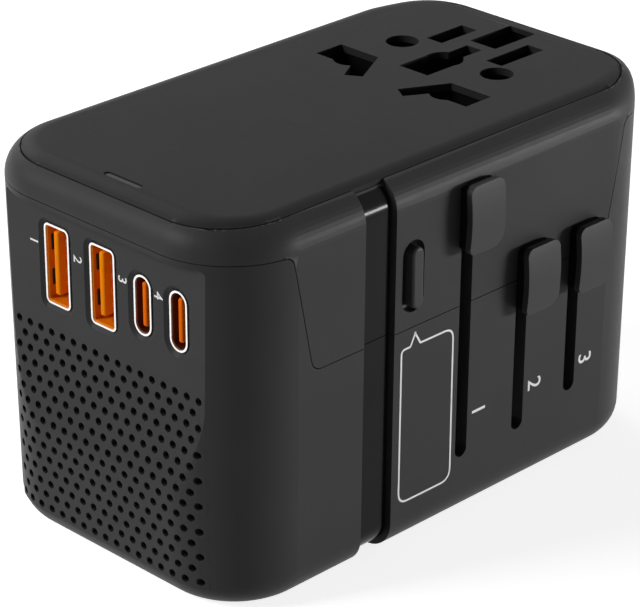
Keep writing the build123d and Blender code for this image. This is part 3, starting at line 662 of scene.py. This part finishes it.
# Plug pins and their carriers
# Three black carriers slide inside the plug end, each pushing its own plated pins out of the floor.
carrier_finish = moulded("carrier_black", grey(0.012), grey(0.016), 0.48, 0.05)
nickel = metal("pin_nickel", (0.66, 0.64, 0.58), (0.76, 0.74, 0.68), 0.28, 0.06, (1, 1, 0.15), 3000)
coat(["eu_carrier", "uk_carrier", "us_carrier", "us_lid"], carrier_finish)
coat(["eu_pin_live", "eu_pin_neutral", "uk_pin_live", "uk_pin_neutral", "uk_pin_earth"], nickel)
coat(["us_blade_live", "us_blade_neutral"], nickel)


# Slider caps
# Three curved thumb plates, each on a smaller body that rides over its slot on the long side; the body
# behind the plate is painted near-black as the shade under the plate.
cap_finish = moulded("cap_satin", grey(0.046), grey(0.050), 0.44, 0.05,
                     grain=6000, depth=0.008, specular=0.12)
cap_body_painted_shade = moulded("cap_body", grey(0.003), grey(0.004), 0.55, 0.05, specular=0.04)
cap_low = {"eu": 43.2, "uk": 29.7, "us": 29.35}
cap_half_height = 5.2
cap_proud = 2.65
cap_bow = 0.6
cap_plate = 1.0
cap_slack = 0.03
cap_edge = 0.07
cap_edge_steps = 2
cap_flat_turn = 0.4
cap_edge_turn = 35
cap_weight = 80


def wall_y(z, proud):
    """Y of a face that stands proud of the slider side's drafted wall at height z, in millimetres."""
    return case_draft * (case_height - z) - case_half_width - proud


def softened(name, width):
    """A copy of a CAD node with its flats joined and its sharp edges broken."""
    piece = merged_copy(name)
    bpy.ops.mesh.dissolve_limited(angle_limit=radians(cap_flat_turn))
    leave()
    worked(piece, "BEVEL", width=width * mm, segments=cap_edge_steps, limit_method="ANGLE",
           angle_limit=radians(cap_edge_turn), harden_normals=False)
    smoothed(piece, edge_smooth)
    worked(piece, "WEIGHTED_NORMAL", keep_sharp=True, weight=cap_weight)
    return piece


def cap_face(kind, z):
    """Y of a cap's curved front at height z."""
    share = (z - cap_low[kind]) / cap_half_height - 1
    return wall_y(z, cap_proud - cap_bow * share ** 2)


for kind in ("eu", "uk", "us"):
    cap = softened(f"{kind}_cap", cap_edge)
    dressed(cap, f"{kind}_thumb_cap", cap_finish, f"{kind}_slider")
    cap.data.materials.append(cap_body_painted_shade)
    # Faces behind the thumb plate take the near-black finish, which is painted shade.
    for face in cap.data.polygons:
        c = face.center / mm
        face.material_index = int(c.y > cap_face(kind, c.z) + cap_plate - cap_slack)
    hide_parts(f"{kind}_cap")


# Mode button
# A pill-shaped push button in a stadium recess, beside the band.
# It is moulded in the cover's dark plastic, a little smoother, and pushes the switch behind the wall.
coat(["mode_button"], moulded("button_satin", grey(0.038), grey(0.042), 0.42, 0.04))


# Case screws
# Four blackened screws come up through the floor and hold the socket tray on its posts.
screw_finish = metal("blackened_steel", (0.045, 0.045, 0.05), (0.08, 0.08, 0.085), 0.35, 0.07,
                     (1, 1, 0.3), 3000)
coat([f"case_screw_{number}" for number in (1, 2, 3, 4)], screw_finish)


# Printed marks
# White ink on the long side and by the ports: a plain frame beside the button, and plain numbers.
# Each print is laid out flat and then stood up on its face, a hair proud of the plastic.
ink = moulded("white_ink", (0.92, 0.92, 0.92), (0.97, 0.97, 0.97), 0.5, 0.05, grain=4000, depth=0.004)
ink_proud = 0.03
ink_thick = 0.005
ink_swell = 0.02
number_turn = -90
slider_number_size = 4.0
slider_number_places = ((4.4, 16.6), (16.5, 16.5), (27.8, 16.7))
port_number_size = 2.4
port_number_places = (14.6, 5.45, -3.72, -10.9)
port_number_z = 45.5
frame_line = 0.32
frame_corners = [
    (-9.26, 33.95, 0.05), (-8.05, 31.95, 0.05), (-1.25, 31.95, 1.9), (-1.05, 7.25, 2.1),
    (-12.05, 7.25, 2.0), (-12.1, 31.95, 1.9), (-10.25, 31.98, 0.1),
]
corner_steps = 6


def on_wall(piece):
    """Stands a flat print up on the long side, following the draft."""
    for v in piece.data.vertices:
        x, z, lift = v.co
        v.co = (x, wall_y(z / mm, ink_proud) * mm - lift, z)
    piece.data.update()


def on_port_face(piece):
    """Stands a flat print up on the flat face at the port end."""
    for v in piece.data.vertices:
        across, z, lift = v.co
        v.co = ((facet_x - ink_proud) * mm - lift, -across, z)
    piece.data.update()


def numeral(text, size, across, z):
    """A printed number, centred on a point of a flat print."""
    bpy.ops.object.select_all(action="DESELECT")
    bpy.ops.object.text_add()
    piece = bpy.context.object
    piece.data.body = text
    piece.data.size = size * mm
    piece.data.align_x = "CENTER"
    piece.data.align_y = "CENTER"
    piece.data.extrude = ink_thick * mm
    piece.data.offset = ink_swell * mm
    piece.location = (across * mm, z * mm, 0)
    piece.rotation_euler = (0, 0, radians(number_turn))
    bpy.ops.object.convert(target="MESH")
    piece = bpy.context.object
    settle(piece)
    return piece


def rounded(corners):
    """Rounds each corner of a closed outline, given as X, Z and its own radius."""
    points = []
    for index, (x, z, radius) in enumerate(corners):
        here = Vector((x, z, 0))
        before = Vector((*corners[index - 1][:2], 0)) - here
        after = Vector((*corners[(index + 1) % len(corners)][:2], 0)) - here
        reach = min(radius, before.length / 2, after.length / 2)
        start = here + before.normalized() * reach
        end = here + after.normalized() * reach
        for step in range(corner_steps + 1):
            t = step / corner_steps
            points.append(start * (1 - t) ** 2 + here * 2 * t * (1 - t) + end * t ** 2)
    return points


def moved_in(points, width):
    """The same closed outline, each point moved in square to the line between its two neighbours."""
    inner = []
    for index, point in enumerate(points):
        along = (points[(index + 1) % len(points)] - points[index - 1]).normalized()
        inner.append(point + Vector((along.y, -along.x, 0)) * width)
    return inner


def printed_frame(corners, width):
    """A printed outline: a ring of edges laid on the outline, extruded and moved in by the line's width."""
    outer = [point * mm for point in rounded(corners)]
    inner = moved_in(outer, width * mm)
    bpy.ops.object.select_all(action="DESELECT")
    bpy.ops.mesh.primitive_circle_add(vertices=len(outer), fill_type="NOTHING")
    piece = bpy.context.object
    for v, point in zip(piece.data.vertices, outer):
        v.co = point
    pick(piece, "EDGE", every)
    bpy.ops.mesh.extrude_edges_move(TRANSFORM_OT_translate={"value": (0, 0, 0)})
    form = bmesh.from_edit_mesh(piece.data)
    for v in form.verts:
        if v.select:
            nearest = min(range(len(outer)), key=lambda index: (outer[index] - v.co).length)
            v.co = inner[nearest]
    bmesh.update_edit_mesh(piece.data)
    leave()
    return piece


callout = printed_frame(frame_corners, frame_line)
on_wall(callout)
dressed(callout, "callout_frame", ink, "case")

for number, (x, z) in enumerate(slider_number_places, 1):
    mark = numeral(str(number), slider_number_size, x, z)
    on_wall(mark)
    dressed(mark, f"slider_number_{number}", ink, "case")

for number, y in enumerate(port_number_places, 1):
    mark = numeral(str(number), port_number_size, -y, port_number_z)
    on_port_face(mark)
    dressed(mark, f"port_number_{number}", ink, "case")


# Photographer's table
# A white sweep under even softboxes; the camera stands well back with a long lens.
# The white of the paper and the studio is for the camera and reflections, and hardly lights the object.
table_size = 6
table_drop = 0.00005
paper_tone = 0.65
paper_roughness = 0.9
paper_glow = 0.82
studio_fill = 0.04
white = (1, 1, 1, 1)
object_middle = (0, 0, 0.03)


def shown(nodes, links, lighting, seen):
    """Mixes the shader that lights the object with the one that a camera, gloss or clear plastic sees."""
    rays = nodes.new("ShaderNodeLightPath")
    share = rays.outputs["Is Camera Ray"]
    for kind in ("Is Glossy Ray", "Is Transmission Ray"):
        most = nodes.new("ShaderNodeMath")
        most.operation = "MAXIMUM"
        links.new(share, most.inputs[0])
        links.new(rays.outputs[kind], most.inputs[1])
        share = most.outputs["Value"]
    mix = nodes.new("ShaderNodeMixShader")
    links.new(share, mix.inputs["Fac"])
    links.new(lighting, mix.inputs[1])
    links.new(seen, mix.inputs[2])
    return mix.outputs["Shader"]


bpy.ops.object.select_all(action="DESELECT")
bpy.ops.mesh.primitive_plane_add(size=table_size, location=(0, 0, -table_drop))
floor = bpy.context.object
floor.name = "sweep"
paper, nodes, links = new_material("sweep_white")
matte = nodes["Principled BSDF"]
matte.inputs["Base Color"].default_value = (paper_tone, paper_tone, paper_tone, 1)
matte.inputs["Roughness"].default_value = paper_roughness
glow = nodes.new("ShaderNodeEmission")
glow.inputs["Color"].default_value = white
glow.inputs["Strength"].default_value = paper_glow
both = nodes.new("ShaderNodeAddShader")
links.new(matte.outputs["BSDF"], both.inputs[0])
links.new(glow.outputs["Emission"], both.inputs[1])
paper_shader = shown(nodes, links, matte.outputs["BSDF"], both.outputs["Shader"])
links.new(paper_shader, nodes["Material Output"].inputs["Surface"])
floor.data.materials.append(paper)

world = bpy.data.worlds.new("studio")
bpy.context.scene.world = world
world.use_nodes = True
nodes, links = world.node_tree.nodes, world.node_tree.links
backdrop = nodes["Background"]
backdrop.inputs["Color"].default_value = white
backdrop.inputs["Strength"].default_value = studio_fill
clear = nodes.new("ShaderNodeBackground")
clear.inputs["Strength"].default_value = 1.0
studio_shader = shown(nodes, links, backdrop.outputs["Background"], clear.outputs["Background"])
links.new(studio_shader, nodes["World Output"].inputs["Surface"])


def softbox(name, place, width, height, power):
    """A soft rectangular lamp that is aimed at the middle of the object."""
    lamp = bpy.data.lights.new(name, "AREA")
    lamp.shape = "RECTANGLE"
    lamp.size = width
    lamp.size_y = height
    lamp.energy = power
    piece = bpy.data.objects.new(name, lamp)
    bpy.context.collection.objects.link(piece)
    piece.location = place
    piece.rotation_euler = (Vector(object_middle) - Vector(place)).to_track_quat("-Z", "Y").to_euler()


softbox("left_box", (-0.84, 0.50, 0.62), 0.45, 0.45, 9)
softbox("right_box", (0.84, -0.80, 0.0), 0.36, 0.26, 20)
softbox("top_box", (0.15, 0.95, 0.75), 0.7, 0.7, 3.5)

camera_place = (-0.2872, -0.2850, 0.2191)
camera_swing = -45.06
camera_rise = 25.49
camera_roll = 0.06
lens_length = 171.56
film_width = 36.0
near_limit = 0.01
lens = bpy.data.cameras.new("camera")
lens.lens = lens_length
lens.sensor_width = film_width
lens.clip_start = near_limit
camera = bpy.data.objects.new("camera", lens)
bpy.context.collection.objects.link(camera)
swing = Matrix.Rotation(radians(camera_swing), 4, "Z")
tilt = Matrix.Rotation(radians(90 - camera_rise), 4, "X")
roll = Matrix.Rotation(radians(camera_roll), 4, "Z")
camera.matrix_world = Matrix.Translation(camera_place) @ (swing @ tilt @ roll)
bpy.context.scene.camera = camera
bpy.context.scene.view_settings.view_transform = "Standard"
